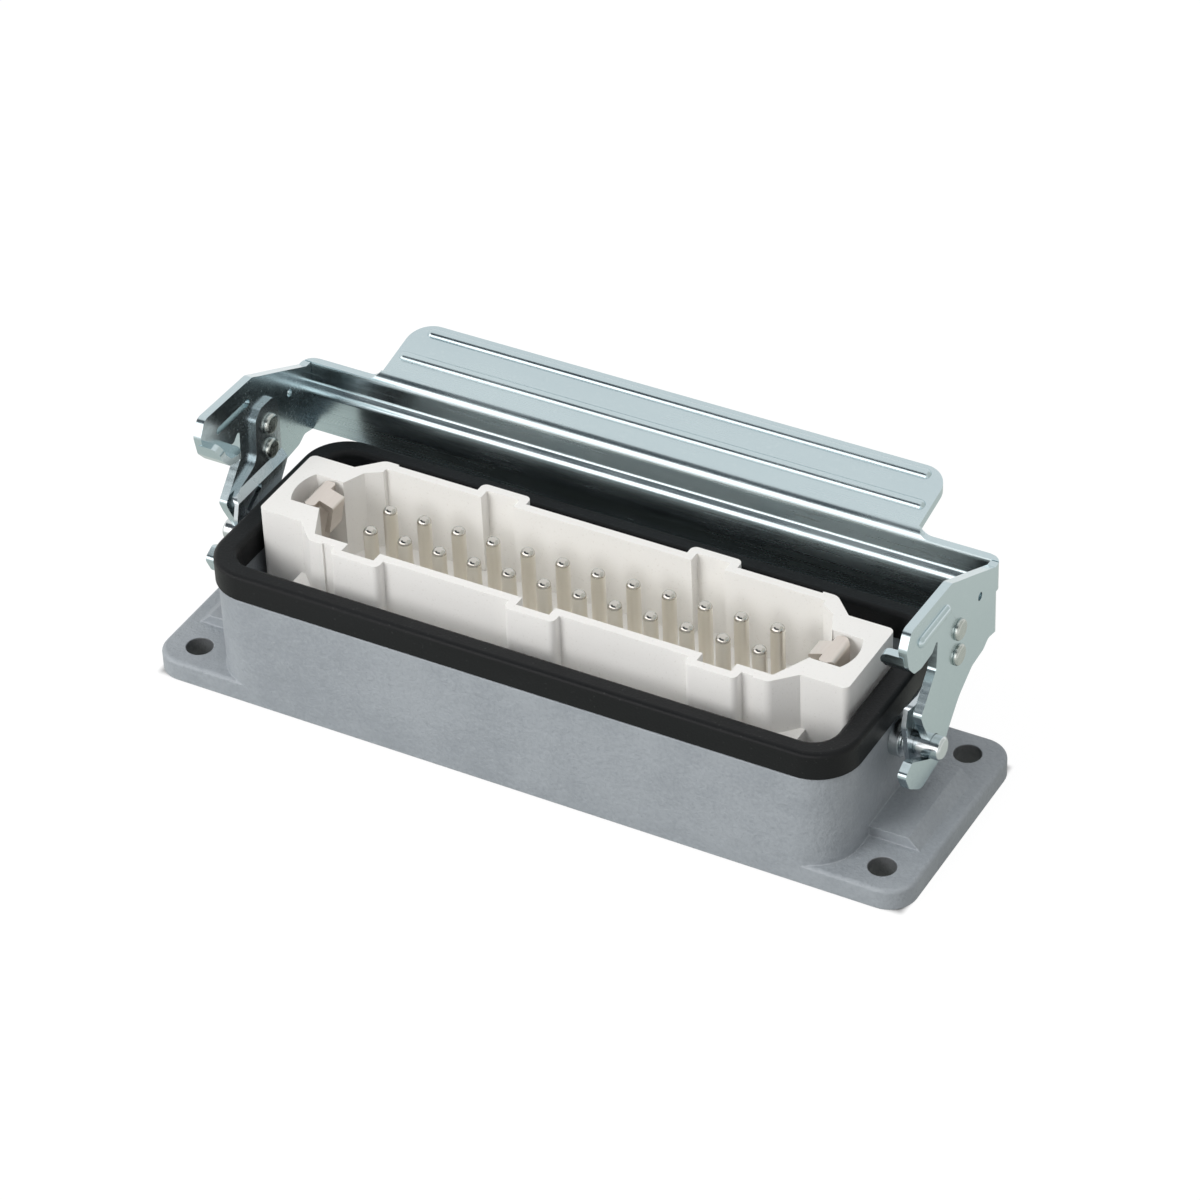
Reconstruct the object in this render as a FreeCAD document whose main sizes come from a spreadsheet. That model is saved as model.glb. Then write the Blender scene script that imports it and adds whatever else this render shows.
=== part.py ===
import FreeCAD, Part
import math
import os

import Sketcher

# A bulkhead-mounted rectangular power connector: a cast housing with a rubber rim gasket, a moulded
# 24-pole pin insert screwed into it, and a locking lever bent from sheet steel that swings on two
# pegs in the housing's end walls. Millimetres. The origin is the centre of the mounting face,
# X runs along the connector, Y from the front to the lever's back, Z up.

DIMENSIONS = {
    # Poles
    "pin_pitch": 6.667,
    "row_offset": 3.22,
    "pin_diameter": 2.5,
    "pin_recess": 1.53,
    "pin_tip_radius": 1.05,
    "running_fit": 0.05,
    "terminal_width": 4.4,
    "terminal_inner": 1.7,
    "terminal_outer": 12.5,
    "terminal_bottom": 2.0,
    "terminal_top": 11.6,
    "pin_foot": 8.0,
    "chamber_clearance": 0.1,
    "wire_hole": 3.0,
    "wire_hole_depth": 7.0,
    "wire_row": 9.4,
    "clamp_thread": 2.5,
    "clamp_head": 4.4,
    "clamp_head_height": 1.8,
    "clamp_height": 6.0,
    "clamp_access": 4.9,
    # Insert
    "end_margin": 10.9315,
    "side_margin": 4.3,
    "insert_bottom": 1.0,
    "shoulder_drop": 1.1,
    "shroud_rise": 9.8,
    "shroud_half_width": 12.2,
    "shroud_wall": 1.6,
    "shroud_setback": 4.7,
    "corner_rib_width": 2.6,
    "corner_rib_depth": 0.4,
    "shroud_corner": 2.0,
    "cavity_floor": 16.0,
    "cavity_inset": 11.0,
    "block_reach": 7.6,
    "block_width": 17.4,
    "key_depth": 2.1,
    "key_width": 9.4,
    "insert_edge": 1.1,
    # Fixing screws
    "screw_reach": 4.4,
    "screw_inset": 4.9,
    "screw_thread": 4.0,
    "screw_depth": 7.0,
    "screw_head": 7.0,
    "screw_head_height": 2.6,
    "slot_width": 1.0,
    "slot_depth": 1.1,
    # Housing
    "screw_room": 4.5,
    "insert_gap": 1.6,
    "wall": 3.1,
    "body_corner": 8.0,
    "rim_height": 21.8,
    "tongue_thickness": 1.4,
    "tongue_height": 2.2,
    "boss_height": 9.0,
    "boss_reach": 4.1,
    "hole_reach": 5.4,
    "hole_inset": 5.5,
    "hole_margin": 6.5,
    "mounting_hole": 4.7,
    "flange_thickness": 4.0,
    "flange_corner": 5.0,
    "flange_edge": 0.8,
    "end_pad_width": 20.0,
    "end_pad_height": 2.0,
    "end_pad_slope": 2.2,
    "end_pad_inset": 2.7,
    # Seals
    "seal_width": 1.6,
    "seal_depth": 1.4,
    "gasket_height": 5.2,
    "gasket_overhang": 0.6,
    "gasket_lip": 0.5,
    "gasket_round": 0.9,
    # Earth contacts
    "earth_plate": 1.2,
    "earth_plate_clearance": 1.0,
    "earth_plate_margin": 0.7,
    "earth_sheet": 1.0,
    "earth_bend": 0.8,
    "earth_leaf_inset": 5.2,
    "earth_leaf_length": 2.6,
    "earth_leaf_width": 7.4,
    "earth_leaf_drop": 0.3,
    "earth_leaf_corner": 0.6,
    "earth_riser_width": 5.6,
    "earth_tongue_width": 3.8,
    "earth_tongue_length": 2.7,
    "earth_tongue_drop": 0.9,
    "earth_hook_length": 5.4,
    "earth_hook_return": 1.1,
    "earth_tab_width": 9.0,
    "earth_tab_length": 7.6,
    "earth_screw_height": 5.0,
    "earth_screw_head": 6.6,
    "earth_screw_head_height": 2.2,
    "leaf_slit": 1.6,
    "leaf_slit_radius": 8.0,
    "leaf_mouth": 5.9,
    "leaf_mouth_depth": 1.2,
    "slot_clearance": 0.4,
    # Pivot pegs
    "pivot_drop": 4.15,
    "peg_diameter": 4.1,
    "peg_stand": 2.0,
    "peg_collar": 6.6,
    "peg_collar_width": 1.9,
    "peg_edge": 0.4,
    # Lever
    "lever_sheet": 1.5,
    "arm_gap": 5.1,
    "web_gap": 2.1,
    "bend_radius": 2.2,
    "pivot_clearance": 0.1,
    "handle_setback": 15.2,
    "handle_corner": 4.5,
    "handle_depth": 15.0,
    "handle_root_radius": 2.5,
    "rib_width": 2.2,
    "rib_height": 0.7,
    "rib_crown": 1.0,
    "rib_hollow": 1.3,
    "neck_rib_length": 9.0,
    "lip_reach": 3.4,
    "lip_corner": 1.8,
    "drain_hole": 1.5,
    # Leaf springs and rivets
    "spring_sheet": 0.8,
    "spring_joggle": 1.2,
    "rivet_shank": 2.4,
    "rivet_head": 3.8,
    "rivet_head_height": 0.8,
    "rivet_dome": 0.6,
}

POLES_PER_ROW = 12
FRONT_KEYS = (-5, 0, 5)
BACK_KEYS = (-3, 3)

document = FreeCAD.newDocument("connector")
sheet = document.addObject("Spreadsheet::Sheet", "Dims")
for row, (alias, number) in enumerate(DIMENSIONS.items(), start=1):
    sheet.set(f"A{row}", alias.replace("_", " "))
    sheet.set(f"B{row}", str(number))
    sheet.setAlias(f"B{row}", alias)
document.recompute()


class Size:
    """A length that carries its number and the formula that gives it from the sheet."""

    def __init__(self, value, text):
        self.value = value
        self.text = text

    def joined(self, sign, other, value):
        return Size(value, f"({self.text} {sign} {other.text})")

    def __add__(self, other):
        other = as_size(other)
        return self.joined("+", other, self.value + other.value)

    def __sub__(self, other):
        other = as_size(other)
        return self.joined("-", other, self.value - other.value)

    def __mul__(self, other):
        other = as_size(other)
        return self.joined("*", other, self.value * other.value)

    def __truediv__(self, other):
        other = as_size(other)
        return self.joined("/", other, self.value / other.value)

    def __neg__(self):
        return self * -1

    def __rsub__(self, other):
        return as_size(other) - self

    __radd__ = __add__
    __rmul__ = __mul__


def as_size(item):
    """Take a plain number as a length."""
    return item if isinstance(item, Size) else Size(float(item), f"({item})")


def dim(alias):
    """Read one driving dimension from the sheet."""
    return Size(float(sheet.get(alias)), f"Dims.{alias}")


def bind(item, field, size):
    """Tie a property of an object to the sheet."""
    item.setExpression(field, as_size(size).text)


# Places that several pieces share, from the poles outwards

first_pin = dim("pin_pitch") * ((POLES_PER_ROW - 1) / 2)
half_insert = first_pin + dim("end_margin")
half_insert_width = dim("terminal_outer") + dim("side_margin")
block_x = half_insert + dim("block_reach")
screw_x = half_insert + dim("screw_reach")
cavity_x = screw_x + dim("screw_room")
cavity_y = half_insert_width + dim("insert_gap")
screw_y = cavity_y - dim("screw_inset")
half_body = cavity_x + dim("wall")
half_width = cavity_y + dim("wall")
hole_x = half_body + dim("hole_reach")
hole_y = half_width - dim("hole_inset")
half_flange = hole_x + dim("hole_margin")
plate_top = dim("boss_height") + dim("earth_plate")
shoulder = dim("rim_height") - dim("shoulder_drop")
shroud_top = dim("rim_height") + dim("shroud_rise")
pin_tip = shroud_top - dim("pin_recess")
pivot_height = dim("rim_height") - dim("pivot_drop")
ledge = (dim("wall") - dim("tongue_thickness")) / 2
leaf_outer = block_x - dim("earth_leaf_inset")
leaf_inner = leaf_outer - dim("earth_leaf_length")
leaf_top = shroud_top - dim("earth_leaf_drop")
arm_inner = half_body + dim("arm_gap")
arm_outer = arm_inner + dim("lever_sheet")
peg_end = arm_outer + dim("peg_stand")
screw_shank = dim("screw_thread") - 2 * dim("running_fit")
CORNERS = ((-1, -1), (-1, 1), (1, -1), (1, 1))


def new_body(name):
    """Start a piece that is built from sketches."""
    body = document.addObject("PartDesign::Body", name)
    body.Label = name
    return body


def new_sketch(body, name, role, offset=0):
    """Lay a sketch on one of the piece's own origin planes, shifted along its normal."""
    sketch = body.newObject("Sketcher::SketchObject", f"{body.Name}_{name}")
    plane = next(item for item in body.Origin.OriginFeatures if item.Role == role)
    sketch.AttachmentSupport = [(plane, "")]
    sketch.MapMode = "FlatFace"
    bind(sketch, "AttachmentOffset.Base.z", offset)
    return sketch


def hold(sketch, rules):
    """Add constraints and tie their values: each rule is a kind, its references and a length."""
    made = [Sketcher.Constraint(kind, *places, size.value) for kind, places, size in rules]
    for index, (kind, places, size) in zip(sketch.addConstraint(made), rules):
        sketch.setExpression(f"Constraints[{index}]", size.text)


def place_rules(geometry, corner, across, up):
    """Place one point of a sketch by its two distances from the sketch's origin."""
    origin = (-1, 1, geometry, corner)
    return [("DistanceX", origin, as_size(across)), ("DistanceY", origin, as_size(up))]


def draw_polygon(sketch, corners):
    """Draw a closed outline of straight lines through corners given by two lengths each."""
    corners = [(as_size(across), as_size(up)) for across, up in corners]
    count = len(corners)
    points = [FreeCAD.Vector(across.value, up.value) for across, up in corners]
    lines = [Part.LineSegment(points[i], points[(i + 1) % count]) for i in range(count)]
    first = sketch.addGeometry(lines)[0]
    joints = [("Coincident", first + i, 2, first + (i + 1) % count, 1) for i in range(count)]
    sketch.addConstraint([Sketcher.Constraint(*joint) for joint in joints])
    rules = []
    for i, (across, up) in enumerate(corners):
        rules += place_rules(first + i, 1, across, up)
    hold(sketch, rules)


def draw_rectangle(sketch, left, right, low, high):
    """Draw a rectangle between two lengths across and two up."""
    draw_polygon(sketch, [(left, low), (right, low), (right, high), (left, high)])


def draw_circle(sketch, across, up, diameter):
    """Draw a circle of a given diameter."""
    across, up, diameter = as_size(across), as_size(up), as_size(diameter)
    centre = FreeCAD.Vector(across.value, up.value)
    circle = Part.Circle(centre, FreeCAD.Vector(0, 0, 1), diameter.value / 2)
    index = sketch.addGeometry(circle)
    hold(sketch, place_rules(index, 3, across, up) + [("Diameter", (index,), diameter)])


def draw_segment(sketch, across, half, radius, side):
    """Draw an upright chord at a length across, and the arc that bulges out past its ends."""
    place = across.value * side
    rise = half.value * side
    bulge = radius.value - math.sqrt(radius.value ** 2 - rise ** 2)
    ends = [FreeCAD.Vector(place, -rise), FreeCAD.Vector(place, rise)]
    arc = Part.Arc(ends[0], FreeCAD.Vector(place + bulge * side, 0), ends[1])
    chord = Part.LineSegment(ends[1], ends[0])
    first = sketch.addGeometry([arc, chord])[0]
    meets = [("Coincident", first, 2, first + 1, 1), ("Coincident", first + 1, 2, first, 1)]
    sketch.addConstraint([Sketcher.Constraint(*meet) for meet in meets])
    rules = place_rules(first + 1, 1, across * side, half * side)
    rules += place_rules(first + 1, 2, across * side, half * -side)
    hold(sketch, rules + [("Radius", (first,), radius)])


def draw_rounded_rectangle(sketch, half_across, half_up, radius):
    """Draw a rectangle about the sketch's origin, its corners rounded by tangent arcs."""
    inner_across = half_across - radius
    inner_up = half_up - radius
    signs = ((1, -1), (1, 1), (-1, 1), (-1, -1))
    normal = FreeCAD.Vector(0, 0, 1)
    arcs = []
    for turn, (side, end) in enumerate(signs):
        centre = FreeCAD.Vector(side * inner_across.value, end * inner_up.value)
        start = (turn - 1) * math.pi / 2
        circle = Part.Circle(centre, normal, radius.value)
        arcs.append(Part.ArcOfCircle(circle, start, start + math.pi / 2))
    lines = [Part.LineSegment(arcs[i].EndPoint, arcs[(i + 1) % 4].StartPoint) for i in range(4)]
    first = sketch.addGeometry(arcs + lines)[0]
    tangents = []
    for i in range(4):
        tangents.append(Sketcher.Constraint("Tangent", first + i, 2, first + 4 + i, 1))
        tangents.append(Sketcher.Constraint("Tangent", first + 4 + i, 2, first + (i + 1) % 4, 1))
    sketch.addConstraint(tangents)
    rules = []
    for i, (side, end) in enumerate(signs):
        rules += place_rules(first + i, 3, inner_across * side, inner_up * end)
        rules.append(("Radius", (first + i,), radius))
    hold(sketch, rules)


def draw_body_ring(sketch, margin):
    """Draw the housing body's rounded outline, moved inwards by a margin."""
    radius = dim("body_corner") - margin
    draw_rounded_rectangle(sketch, half_body - margin, half_width - margin, radius)


def pad(body, sketch, length, midplane=False, reverse=False):
    """Raise a sketch into material."""
    feature = body.newObject("PartDesign::Pad", f"{sketch.Name}_pad")
    feature.Profile = sketch
    feature.Midplane = midplane
    feature.Reversed = reverse
    bind(feature, "Length", length)
    return feature


def pocket(body, sketch, length=None, midplane=False, reverse=False):
    """Cut a sketch out of a piece, to a depth or all the way through."""
    before = body.Tip
    feature = body.newObject("PartDesign::Pocket", f"{sketch.Name}_pocket")
    feature.Profile = sketch
    feature.Midplane = midplane
    feature.Reversed = reverse
    if length is None:
        feature.Type = "ThroughAll"
    else:
        bind(feature, "Length", length)
    document.recompute()
    if feature.Shape.Volume > before.Shape.Volume - 0.01:
        raise RuntimeError(f"{feature.Name} cuts nothing")
    return feature


def round_edges(body, radius, wanted):
    """Round the edges that a test picks by their shape and place."""
    document.recompute()
    base = body.Tip
    names = [f"Edge{i}" for i, edge in enumerate(base.Shape.Edges, start=1) if wanted(edge)]
    if not names:
        raise RuntimeError(f"{body.Name} has no edge to round")
    feature = body.newObject("PartDesign::Fillet", f"{base.Name}_rounded")
    feature.Base = (base, names)
    bind(feature, "Radius", radius)
    return feature


def near(first, second, slack=0.05):
    """Tell whether two lengths are the same."""
    return abs(first - second) < slack


def is_upright(edge):
    """Tell whether an edge is a straight line along Z."""
    box = edge.BoundBox
    return box.XLength < 0.01 and box.YLength < 0.01 and box.ZLength > 0.1


def lies_at(edge, height):
    """Tell whether an edge lies level at a height."""
    box = edge.BoundBox
    return near(box.ZMin, height.value) and near(box.ZMax, height.value)


def revolve(body, sketch, axis):
    """Turn a sketch about one of its own axes."""
    feature = body.newObject("PartDesign::Revolution", f"{sketch.Name}_turned")
    feature.Profile = sketch
    feature.ReferenceAxis = (sketch, [axis])
    feature.Angle = 360
    return feature


def side_name(side):
    """Name an end of the connector."""
    return "left" if side < 0 else "right"


def both_ends(corners):
    """Carry an outline's corners at the right end over to the left end."""
    return corners + [(-across, up) for across, up in reversed(corners)]


def make_housing():
    """Cast housing: mounting flange, four walls, rim tongue, corner bosses and end pads."""
    body = new_body("housing")
    sketch = new_sketch(body, "flange", "XY_Plane")
    draw_rounded_rectangle(sketch, half_flange, half_width, dim("flange_corner"))
    pad(body, sketch, dim("flange_thickness"))
    round_edges(body, dim("flange_edge"), lambda edge: lies_at(edge, dim("flange_thickness")))

    # A raised pad between each pair of mounting holes, sloping down at its end
    foot = dim("flange_thickness")
    top = foot + dim("end_pad_height")
    end = half_flange - dim("end_pad_inset")
    root = half_body - dim("wall") / 2
    corners = [(root, foot / 2), (end, foot / 2), (end, foot), (end - dim("end_pad_slope"), top),
               (root, top)]
    for side in (-1, 1):
        sketch = new_sketch(body, f"pad_{side_name(side)}", "XZ_Plane")
        draw_polygon(sketch, [(across * side, up) for across, up in corners])
        pad(body, sketch, dim("end_pad_width"), midplane=True)

    # The walls, and the tongue on their rim that the gasket grips
    sketch = new_sketch(body, "walls", "XY_Plane")
    draw_body_ring(sketch, as_size(0))
    pad(body, sketch, dim("rim_height"))
    sketch = new_sketch(body, "tongue", "XY_Plane", dim("rim_height") - dim("wall"))
    draw_body_ring(sketch, ledge)
    pad(body, sketch, dim("tongue_height") + dim("wall"))
    sketch = new_sketch(body, "tongue_bore", "XY_Plane", dim("rim_height") + dim("tongue_height"))
    draw_body_ring(sketch, ledge + dim("tongue_thickness"))
    pocket(body, sketch, dim("tongue_height"))

    # The cavity: full width above the bosses, and cross-shaped between them down to the panel
    sketch = new_sketch(body, "cavity", "XY_Plane", dim("rim_height"))
    draw_body_ring(sketch, dim("wall"))
    pocket(body, sketch, dim("rim_height") - dim("boss_height"))
    boss_x = screw_x - dim("boss_reach")
    boss_y = screw_y - dim("boss_reach")
    quarter = [(cavity_x, boss_y), (boss_x, boss_y), (boss_x, cavity_y)]
    half = both_ends(quarter)
    sketch = new_sketch(body, "opening", "XY_Plane", dim("boss_height"))
    draw_polygon(sketch, half + [(across, -up) for across, up in reversed(half)])
    pocket(body, sketch)
    round_edges(body, dim("boss_reach") / 2, lambda edge: is_upright(edge)
                and near(abs(edge.CenterOfMass.x), boss_x.value)
                and near(abs(edge.CenterOfMass.y), boss_y.value))

    # Screw holes, peg holes and the seal's groove
    sketch = new_sketch(body, "holes", "XY_Plane", top)
    for side, end in CORNERS:
        draw_circle(sketch, hole_x * side, hole_y * end, dim("mounting_hole"))
    pocket(body, sketch)
    sketch = new_sketch(body, "screw_holes", "XY_Plane", dim("boss_height"))
    for side, end in CORNERS:
        draw_circle(sketch, screw_x * side, screw_y * end, dim("screw_thread"))
    pocket(body, sketch)
    sketch = new_sketch(body, "peg_holes", "YZ_Plane")
    draw_circle(sketch, 0, pivot_height, dim("peg_diameter"))
    pocket(body, sketch, midplane=True)
    sketch = new_sketch(body, "seal_groove", "XY_Plane")
    margin = (dim("wall") - dim("seal_width")) / 2
    draw_body_ring(sketch, margin)
    draw_body_ring(sketch, margin + dim("seal_width"))
    pocket(body, sketch, dim("seal_depth"), reverse=True)
    return body


def make_rim_gasket():
    """Rubber rim gasket: a soft-edged ring whose groove grips the housing's rim tongue."""
    body = new_body("rim_gasket")
    top = dim("rim_height") + dim("gasket_height")
    sketch = new_sketch(body, "outside", "XY_Plane", dim("rim_height"))
    draw_rounded_rectangle(sketch, half_body + dim("gasket_overhang"), half_width, dim("body_corner"))
    pad(body, sketch, dim("gasket_height"))
    sketch = new_sketch(body, "inside", "XY_Plane", top)
    draw_body_ring(sketch, dim("wall") + dim("gasket_lip"))
    pocket(body, sketch)
    round_edges(body, dim("gasket_round"), lambda edge: lies_at(edge, top))
    sketch = new_sketch(body, "groove", "XY_Plane", dim("rim_height"))
    draw_body_ring(sketch, ledge - dim("running_fit"))
    draw_body_ring(sketch, ledge + dim("tongue_thickness") + dim("running_fit"))
    pocket(body, sketch, dim("tongue_height") + dim("running_fit"), reverse=True)
    return body


def make_panel_seal():
    """Rubber seal in the groove of the mounting face, flush with the face when it is clamped."""
    body = new_body("panel_seal")
    sketch = new_sketch(body, "ring", "XY_Plane")
    margin = (dim("wall") - dim("seal_width")) / 2
    draw_body_ring(sketch, margin + dim("running_fit"))
    draw_body_ring(sketch, margin + dim("seal_width") - dim("running_fit"))
    pad(body, sketch, dim("seal_depth"))
    return body


# The plan of the mating cavity's end walls at the back and at the front, from the mouth outwards:
# how far each corner stands from the cavity's end and from its long wall

BACK_END_WALL = ((0.2, -2.7), (-2.5, -1.0), (-2.5, 0.0))
FRONT_END_WALL = ((-1.3, 0.0),)


def make_insert():
    """Moulded insulating insert: terminal block, shoulder, keyed shroud and two end blocks."""
    body = new_body("insert_body")
    half_block = dim("block_width") / 2
    half_shroud = dim("shroud_half_width")
    wall = dim("shroud_wall")

    # Terminal block, end blocks and the shroud with its stepped necks
    sketch = new_sketch(body, "terminal_block", "XY_Plane", dim("insert_bottom"))
    draw_rectangle(sketch, -half_insert, half_insert, -half_insert_width, half_insert_width)
    pad(body, sketch, shoulder - dim("insert_bottom"))
    sketch = new_sketch(body, "end_blocks", "XY_Plane", plate_top)
    draw_rectangle(sketch, -block_x, block_x, -half_block, half_block)
    pad(body, sketch, shroud_top - plate_top)
    half_corner = half_shroud + dim("corner_rib_depth")
    step = half_corner - half_block
    step_x = half_insert - dim("shroud_setback")
    rib_x = step_x - dim("corner_rib_width")
    quarter = [(step_x + step, half_block), (step_x, half_corner), (rib_x, half_corner),
               (rib_x, half_shroud)]
    half = both_ends(quarter)
    sketch = new_sketch(body, "shroud", "XY_Plane", shoulder - wall)
    draw_polygon(sketch, half + [(across, -up) for across, up in reversed(half)])
    pad(body, sketch, shroud_top - shoulder + wall)

    # Hollow keys that stand out of the shroud: three in front and two behind
    places = [(-1, place) for place in FRONT_KEYS] + [(1, place) for place in BACK_KEYS]
    half_key = dim("key_width") / 2
    sketch = new_sketch(body, "keys", "XY_Plane", shoulder - wall)
    for end, place in places:
        middle = dim("pin_pitch") * place
        draw_rectangle(sketch, middle - half_key, middle + half_key, (half_shroud - wall / 2) * end,
                       (half_shroud + dim("key_depth")) * end)
    pad(body, sketch, shroud_top - shoulder + wall)
    round_edges(body, dim("insert_edge"), lambda edge: is_upright(edge)
                and near(edge.BoundBox.ZMax, shroud_top.value)
                and (near(abs(edge.CenterOfMass.x), block_x.value)
                     or near(abs(edge.CenterOfMass.y), (half_shroud + dim("key_depth")).value)))
    round_edges(body, dim("shroud_corner"), lambda edge: is_upright(edge)
                and near(edge.BoundBox.ZMax, shroud_top.value)
                and near(abs(edge.CenterOfMass.x), step_x.value)
                and near(abs(edge.CenterOfMass.y), half_corner.value))
    depth = shroud_top - dim("cavity_floor")
    inner_x = block_x - dim("cavity_inset")
    inner_y = half_shroud - wall
    slack = dim("slot_clearance")
    mouth = (leaf_inner - dim("leaf_mouth_depth") + slack, dim("leaf_mouth") / 2)
    back = [mouth] + [(inner_x + across, inner_y + up) for across, up in BACK_END_WALL]
    front = [mouth] + [(inner_x + across, inner_y + up) for across, up in FRONT_END_WALL]
    front = [(across, -up) for across, up in reversed(both_ends(front))]
    sketch = new_sketch(body, "cavity", "XY_Plane", shroud_top)
    draw_polygon(sketch, both_ends(back) + front)
    pocket(body, sketch, depth)
    half_hollow = half_key - wall
    sketch = new_sketch(body, "key_hollows", "XY_Plane", shroud_top)
    for end, place in places:
        middle = dim("pin_pitch") * place
        draw_rectangle(sketch, middle - half_hollow, middle + half_hollow, (inner_y - wall / 2) * end,
                       (inner_y + dim("key_depth")) * end)
    pocket(body, sketch, depth)

    # In each end block: the leaf's slot, the slit behind it, the riser's slot and the screw's hole
    half_slot = dim("earth_leaf_width") / 2 + slack
    half_riser = dim("earth_riser_width") / 2 + slack
    for side in (-1, 1):
        name = side_name(side)
        sketch = new_sketch(body, f"leaf_slot_{name}", "XY_Plane", shroud_top)
        slit = leaf_outer + dim("leaf_slit")
        draw_rectangle(sketch, (leaf_inner - dim("leaf_mouth_depth")) * side, slit * side,
                       -half_slot, half_slot)
        pocket(body, sketch, depth)
        sketch = new_sketch(body, f"leaf_slit_{name}", "XY_Plane", shroud_top)
        draw_segment(sketch, slit, half_slot, dim("leaf_slit_radius"), side)
        pocket(body, sketch, depth)
        sketch = new_sketch(body, f"riser_slot_{name}", "XY_Plane", shroud_top)
        draw_rectangle(sketch, (leaf_outer - dim("earth_sheet") - slack) * side,
                       (leaf_outer + slack) * side, -half_riser, half_riser)
        pocket(body, sketch)
        sketch = new_sketch(body, f"earth_hole_{name}", "YZ_Plane", half_insert * side)
        draw_circle(sketch, 0, dim("earth_screw_height"), dim("screw_thread"))
        pocket(body, sketch, dim("screw_reach"), reverse=side < 0)

    # One column of poles, repeated along the insert
    slack = dim("chamber_clearance")
    holes = []
    sketch = new_sketch(body, "pin_holes", "XY_Plane", dim("cavity_floor"))
    for end in (-1, 1):
        draw_circle(sketch, -first_pin, dim("row_offset") * end,
                    dim("pin_diameter") + 2 * dim("running_fit"))
    holes.append(pocket(body, sketch, dim("cavity_floor") - dim("terminal_top")))
    half_chamber = dim("terminal_width") / 2 + slack
    sketch = new_sketch(body, "chambers", "XY_Plane", dim("insert_bottom"))
    for end in (-1, 1):
        draw_rectangle(sketch, -first_pin - half_chamber, -first_pin + half_chamber,
                       (dim("terminal_inner") - slack) * end, (dim("terminal_outer") + slack) * end)
    holes.append(pocket(body, sketch, dim("terminal_top") - dim("insert_bottom"), reverse=True))
    for end, name in ((-1, "front"), (1, "back")):
        sketch = new_sketch(body, f"access_{name}", "XZ_Plane", -half_insert_width * end)
        draw_circle(sketch, -first_pin, dim("clamp_height"), dim("clamp_access"))
        holes.append(pocket(body, sketch, dim("side_margin") - slack / 2, reverse=end > 0))
    pattern = body.newObject("PartDesign::LinearPattern", "insert_body_poles")
    pattern.Originals = holes
    pattern.Direction = (holes[0].Profile[0], ["H_Axis"])
    pattern.Occurrences = POLES_PER_ROW
    bind(pattern, "Length", 2 * first_pin)
    body.Tip = pattern
    return body


def make_contact(number, column, row_sign):
    """Turned contact pin with a domed tip, its foot seated in its terminal."""
    body = new_body(f"contact_pin_{number:02d}")
    sketch = new_sketch(body, "shank", "XY_Plane", dim("pin_foot"))
    draw_circle(sketch, 0, 0, dim("pin_diameter"))
    pad(body, sketch, pin_tip - dim("pin_foot"))
    round_edges(body, dim("pin_tip_radius"), lambda edge: lies_at(edge, pin_tip))
    bind(body, "Placement.Base.x", dim("pin_pitch") * column - first_pin)
    bind(body, "Placement.Base.y", dim("row_offset") * row_sign)
    return body


def make_cylinder(name, diameter, height, base):
    """One cylinder along Z from a base height."""
    cylinder = document.addObject("Part::Cylinder", name)
    bind(cylinder, "Radius", diameter / 2)
    bind(cylinder, "Height", height)
    bind(cylinder, "Placement.Base.z", base)
    return cylinder


def make_screw(name, shank, length, head, head_height):
    """One screw about its own Z axis, its head's seat at height zero."""
    screw = document.addObject("Part::Fuse", name)
    screw.Base = make_cylinder(f"{name}_shank", shank, length, -length)
    screw.Tool = make_cylinder(f"{name}_head", head, head_height, 0)
    return screw


def cut_slot(name, screw, head, head_height):
    """Cut the driver's slot across a screw's head."""
    slot = document.addObject("Part::Box", f"{name}_slot")
    bind(slot, "Length", head)
    bind(slot, "Width", dim("slot_width"))
    bind(slot, "Height", head_height)
    bind(slot, "Placement.Base.x", -head / 2)
    bind(slot, "Placement.Base.y", -dim("slot_width") / 2)
    bind(slot, "Placement.Base.z", head_height - dim("slot_depth"))
    slotted = document.addObject("Part::Cut", f"{name}_slotted")
    slotted.Base = screw
    slotted.Tool = slot
    return slotted


def put(item, direction, across, back, up):
    """Point a piece's Z axis along a direction and move it to its place."""
    turn = FreeCAD.Rotation(FreeCAD.Vector(0, 0, 1), FreeCAD.Vector(*direction))
    item.Placement = FreeCAD.Placement(FreeCAD.Vector(), turn)
    bind(item, "Placement.Base.x", across)
    bind(item, "Placement.Base.y", back)
    bind(item, "Placement.Base.z", up)
    return item


def gather(name, pieces):
    """Keep a set of like fasteners as one group of separate solids."""
    group = document.addObject("Part::Compound", name)
    group.Label = name
    group.Links = pieces
    return group


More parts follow.
